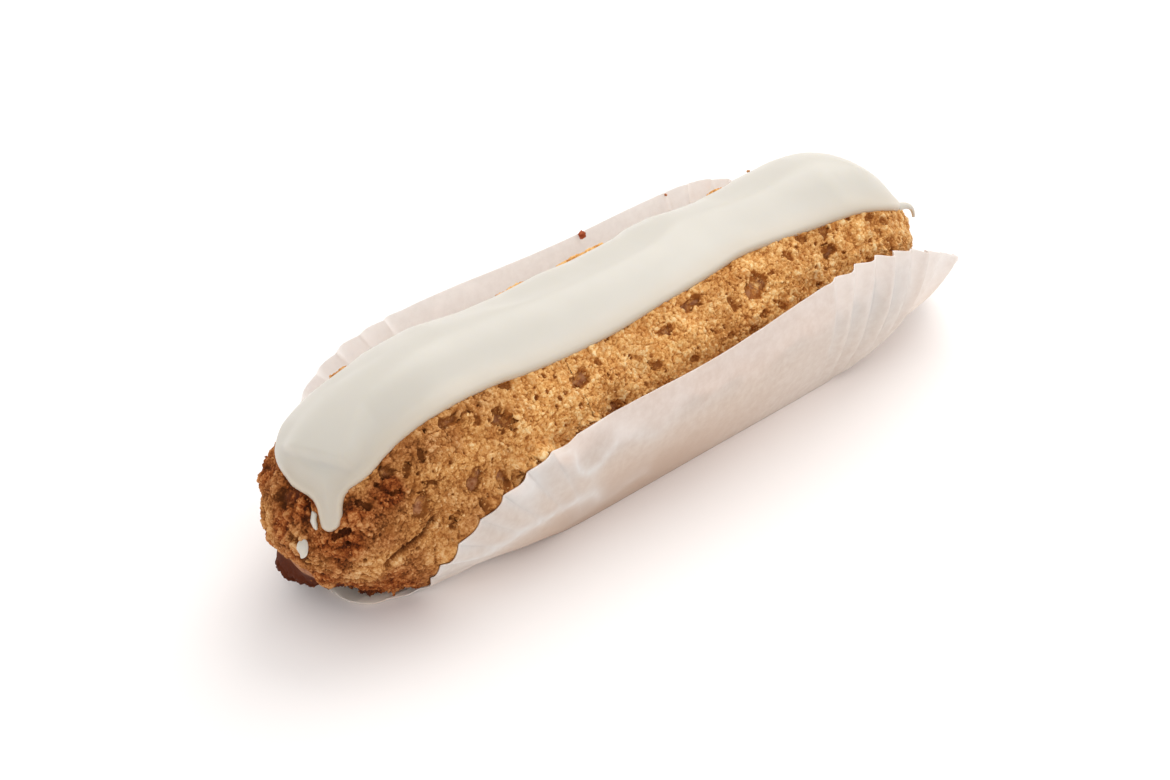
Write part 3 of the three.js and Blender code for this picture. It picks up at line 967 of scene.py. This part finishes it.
def icing_flecks(crust):
    """Chips of icing stuck to the nose beside the drip."""
    bpy.context.view_layer.update()
    chips = []
    for i, (at, long_way, sizes) in enumerate(FLECKS):
        _, hit, out, _ = crust.closest_point_on_mesh(Vector(at) * MM)
        bpy.ops.object.select_all(action="DESELECT")
        bpy.ops.mesh.primitive_ico_sphere_add(subdivisions=3, radius=0.5)
        chip = bpy.context.object
        bpy.ops.object.mode_set(mode="EDIT")
        bpy.ops.transform.vertex_random(offset=0.03, uniform=0.5, seed=80 + i)
        bpy.ops.object.mode_set(mode="OBJECT")
        shape = places(chip) * MM * sizes
        shape[:, 2] -= 0.5 * (shape[:, 0] / sizes[0]) ** 2 - 0.3 * patches(shape, 0.9, 81 + i) * sizes[2]
        side = out.cross(Vector(long_way)).normalized()
        basis = np.array([out.cross(side) * -1, side, out])
        set_places(chip, shape @ basis + np.array(hit) / MM + 0.45 * sizes[2] * np.array(out))
        chips.append(chip)
    bpy.ops.object.select_all(action="DESELECT")
    for chip in chips:
        chip.select_set(True)
    bpy.context.view_layer.objects.active = chips[0]
    bpy.ops.object.join()
    bpy.ops.object.shade_smooth()
    chips[0].name = chips[0].data.name = "icing_flecks"
    return chips[0]


# Finishes


class Finish:
    """A material whose nodes are added one at a time."""

    def __init__(self, name):
        self.material = bpy.data.materials.new(name)
        self.material.use_nodes = True
        self.tree = self.material.node_tree
        self.shader = self.tree.nodes["Principled BSDF"]

    def add(self, kind, *links, **values):
        node = self.tree.nodes.new("ShaderNode" + kind)
        for key, value in values.items():
            if hasattr(node, key):
                setattr(node, key, value)
            else:
                node.inputs[key.replace("_", " ")].default_value = value
        for socket, source in links:
            self.tree.links.new(source, node.inputs[socket])
        return node

    def read(self, name):
        return self.add("Attribute", attribute_name=name).outputs["Fac"]

    def where(self):
        return self.add("TexCoord").outputs["Object"]

    def noise(self, size, detail=2.0, rough=0.5):
        """Noise with patches of about that size in mm."""
        scale = 1 / (size * MM)
        node = self.add("TexNoise", ("Vector", self.where()), Scale=scale, Detail=detail, Roughness=rough)
        return node.outputs["Fac"]

    def cells(self, size):
        """One random value for each cell of about that size in mm."""
        node = self.add("TexVoronoi", ("Vector", self.where()), Scale=1 / (size * MM))
        return node.outputs["Color"]

    def math(self, operation, a, b):
        node = self.add("Math", operation=operation)
        for i, value in enumerate((a, b)):
            if isinstance(value, (int, float)):
                node.inputs[i].default_value = value
            else:
                self.tree.links.new(value, node.inputs[i])
        return node.outputs[0]

    def span(self, value, low, high, to_low=0.0, to_high=1.0):
        node = self.add("MapRange", ("Value", value))
        limits = {"From Min": low, "From Max": high, "To Min": to_low, "To Max": to_high}
        for key, number in limits.items():
            node.inputs[key].default_value = number
        return node.outputs["Result"]

    def ramp(self, value, stops):
        node = self.add("ValToRGB", ("Fac", value))
        marks = node.color_ramp.elements
        while len(marks) < len(stops):
            marks.new(0.5)
        for mark, (place, colour) in zip(marks, stops):
            mark.position = place
            mark.color = (*colour, 1)
        return node.outputs["Color"]

    def mix(self, share, a, b):
        node = self.add("Mix", data_type="RGBA")
        for i, value in ((0, share), (6, a), (7, b)):
            if isinstance(value, (int, float)):
                node.inputs[i].default_value = value
            elif isinstance(value, tuple):
                node.inputs[i].default_value = (*value, 1)
            else:
                self.tree.links.new(value, node.inputs[i])
        return node.outputs[2]

    def put(self, socket, value):
        if isinstance(value, (int, float, tuple)):
            self.shader.inputs[socket].default_value = value
        else:
            self.tree.links.new(value, self.shader.inputs[socket])

    def bump(self, height, strength, distance):
        node = self.add("Bump", ("Height", height), Strength=strength, Distance=distance * MM)
        self.put("Normal", node.outputs["Normal"])


def crust_finish():
    f = Finish("baked_crust")
    fine = f.noise(0.4, 3, 0.65)
    # The relief read here is painted shade in the crust's hollows and painted light on its tops
    relief = f.math("MULTIPLY", f.read("relief"), 0.8)
    level = f.math("ADD", relief, f.math("MULTIPLY", f.read("tint"), 0.22))
    level = f.math("ADD", level, f.span(fine, 0.33, 0.67, -0.24, 0.14))
    level = f.math("ADD", level, f.span(f.cells(0.6), 0.2, 0.8, -0.14, 0.14))
    golden = f.ramp(level, [
        (0.05, (0.37, 0.125, 0.026)), (0.35, (0.68, 0.31, 0.085)),
        (0.62, (0.87, 0.51, 0.19)), (0.95, (0.94, 0.72, 0.39)),
    ])
    brown = f.ramp(level, [
        (0.05, (0.05, 0.01, 0.002)), (0.35, (0.178, 0.037, 0.006)),
        (0.62, (0.355, 0.1, 0.022)), (0.95, (0.57, 0.25, 0.085)),
    ])
    crumb = f.mix(f.read("toast"), golden, brown)
    amber = f.span(f.cells(1.6), 0.7, 0.76, 0, 0.35)
    crumb = f.mix(amber, crumb, f.mix(f.read("toast"), (0.5, 0.175, 0.035), (0.22, 0.06, 0.01)))
    choux = f.mix(f.span(f.noise(0.9, 3), 0.35, 0.65), (0.25, 0.08, 0.028), (0.46, 0.215, 0.105))
    burnt = f.mix(fine, (0.05, 0.008, 0.001), (0.125, 0.024, 0.005))
    choux = f.mix(f.span(f.read("toast"), 0.55, 1), choux, burnt)
    f.put("Base Color", f.mix(f.read("shell"), crumb, choux))
    f.put("Roughness", f.span(f.read("shell"), 0, 1, 0.8, 0.6))
    f.put("Specular IOR Level", 0.1)
    f.bump(f.noise(0.3, 2, 0.5), 0.5, 0.12)
    return f.material


def crumb_finish():
    f = Finish("toasted_crumb")
    dark = f.mix(f.noise(0.4, 2), (0.36, 0.06, 0.015), (0.54, 0.13, 0.035))
    f.put("Base Color", f.mix(f.read("toast"), (0.6, 0.3, 0.1), dark))
    f.put("Roughness", 0.7)
    f.bump(f.noise(0.3, 2), 0.4, 0.1)
    return f.material


def icing_finish():
    f = Finish("poured_icing")
    sugar = f.mix(f.noise(18, 2), (0.575, 0.547, 0.485), (0.602, 0.573, 0.512))
    f.put("Base Color", f.mix(f.math("MULTIPLY", f.read("thin"), 0.65), sugar, (0.5, 0.37, 0.235)))
    f.put("Roughness", f.span(f.noise(6, 2), 0.3, 0.7, 0.36, 0.46))
    f.put("Subsurface Weight", 0.5)
    f.put("Subsurface Radius", (1.0, 0.85, 0.6))
    f.put("Subsurface Scale", 1.4 * MM)
    f.bump(f.noise(3.0, 2), 0.12, 0.1)
    return f.material


def paper_finish():
    f = Finish("case_paper")
    cloud = f.span(f.noise(1.6, 4, 0.6), 0.35, 0.65)
    plain = f.mix(cloud, (0.77, 0.755, 0.73), (0.82, 0.81, 0.785))
    warm = f.mix(cloud, (0.68, 0.515, 0.42), (0.75, 0.6, 0.505))
    warm = f.mix(f.read("upper"), warm, f.mix(cloud, (0.62, 0.535, 0.485), (0.68, 0.605, 0.56)))
    # Painted shade: the front wall darker low down
    warm = f.mix(f.read("lower"), warm, (0.53, 0.38, 0.293))
    sheet = f.mix(f.read("warmth"), plain, warm)
    # Whiter along the crinkles, and a painted highlight across the pleat folds
    sheet = f.mix(f.math("MULTIPLY", f.read("crease"), 0.6), sheet, (0.95, 0.92, 0.89))
    # Painted light: the paper's tip under the nose lighter and warmer
    f.put("Base Color", f.mix(f.read("tip"), sheet, (0.98, 0.79, 0.66)))
    f.put("Roughness", 0.6)
    f.put("Specular IOR Level", 0.3)
    f.put("Subsurface Weight", 0.8)
    f.put("Subsurface Radius", (1.0, 1.0, 1.0))
    f.put("Subsurface Scale", 1.0 * MM)
    f.bump(f.noise(0.8, 3), 0.2, 0.05)
    return f.material


def floor_finish():
    f = Finish("pale_floor")
    f.put("Base Color", (0.96, 0.935, 0.925, 1))
    f.put("Roughness", 0.9)
    f.put("Specular IOR Level", 0.0)
    return f.material


# The studio


def set_studio():
    scene = bpy.context.scene
    scene.view_settings.view_transform = "Standard"
    bpy.ops.object.select_all(action="DESELECT")
    just_under = (0, 0, -0.05 * MM)
    bpy.ops.mesh.primitive_grid_add(
        x_subdivisions=8, y_subdivisions=8, size=FLOOR_SIZE, location=just_under
    )
    floor = bpy.context.object
    floor.name = "floor"
    floor.data.materials.append(floor_finish())

    world = bpy.data.worlds.new("studio")
    scene.world = world
    world.use_nodes = True
    sky = world.node_tree.nodes["Background"]
    sky.inputs["Color"].default_value = SKY_COLOUR
    sky.inputs["Strength"].default_value = 1.0

    light = bpy.data.lights.new("overhead", "AREA")
    light.size = LAMP_SIZE
    light.energy = LAMP_POWER
    light.color = LAMP_COLOUR
    lamp = bpy.data.objects.new("overhead", light)
    scene.collection.objects.link(lamp)
    lamp.location = LAMP_AT
    lamp.rotation_euler = (-Vector(LAMP_AT)).to_track_quat("-Z", "Y").to_euler()

    camera = bpy.data.objects.new("camera", bpy.data.cameras.new("camera"))
    scene.collection.objects.link(camera)
    scene.camera = camera
    turn, tilt = math.radians(CAMERA_TURN), math.radians(CAMERA_TILT)
    flat = math.cos(tilt)
    back = Vector((-math.sin(turn) * flat, -math.cos(turn) * flat, math.sin(tilt)))
    camera.location = (Vector(CAMERA_TARGET) + back * CAMERA_AWAY) * MM
    camera.rotation_euler = (-back).to_track_quat("-Z", "Y").to_euler()
    camera.data.sensor_fit = "HORIZONTAL"
    camera.data.sensor_width = SENSOR_WIDTH
    camera.data.lens = SENSOR_WIDTH * FOCAL_PIXELS / PHOTO_WIDTH
    camera.data.clip_start = 0.01


def hand_over(piece, finish, slot, *nodes):
    """Gives a piece its finish, its body and the nodes it stands for. The slot is not used."""
    piece.data.materials.clear()
    piece.data.materials.append(finish)
    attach(piece, "root")
    if nodes:
        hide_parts(*nodes)


case, case_outside = fold_case()
hand_over(case, paper_finish(), "paper", "paper_case")

crust, cover, crust_normal = shape_crust(case_outside)
crumbly = crust_finish()
for grains in GRAINS:
    hand_over(scatter_grains(crust, cover, crust_normal, case_outside, *grains), crumbly, "crust")
white = icing_finish()
hand_over(pour_icing(), white, "icing", "icing")
hand_over(icing_flecks(crust), white, "icing")
hand_over(icing_tail(), white, "icing")
for piece in cut_crust(crust):
    hand_over(piece, crumbly, "crust", "pastry")
hand_over(loose_crumbs(), crumb_finish(), "crust")
set_studio()
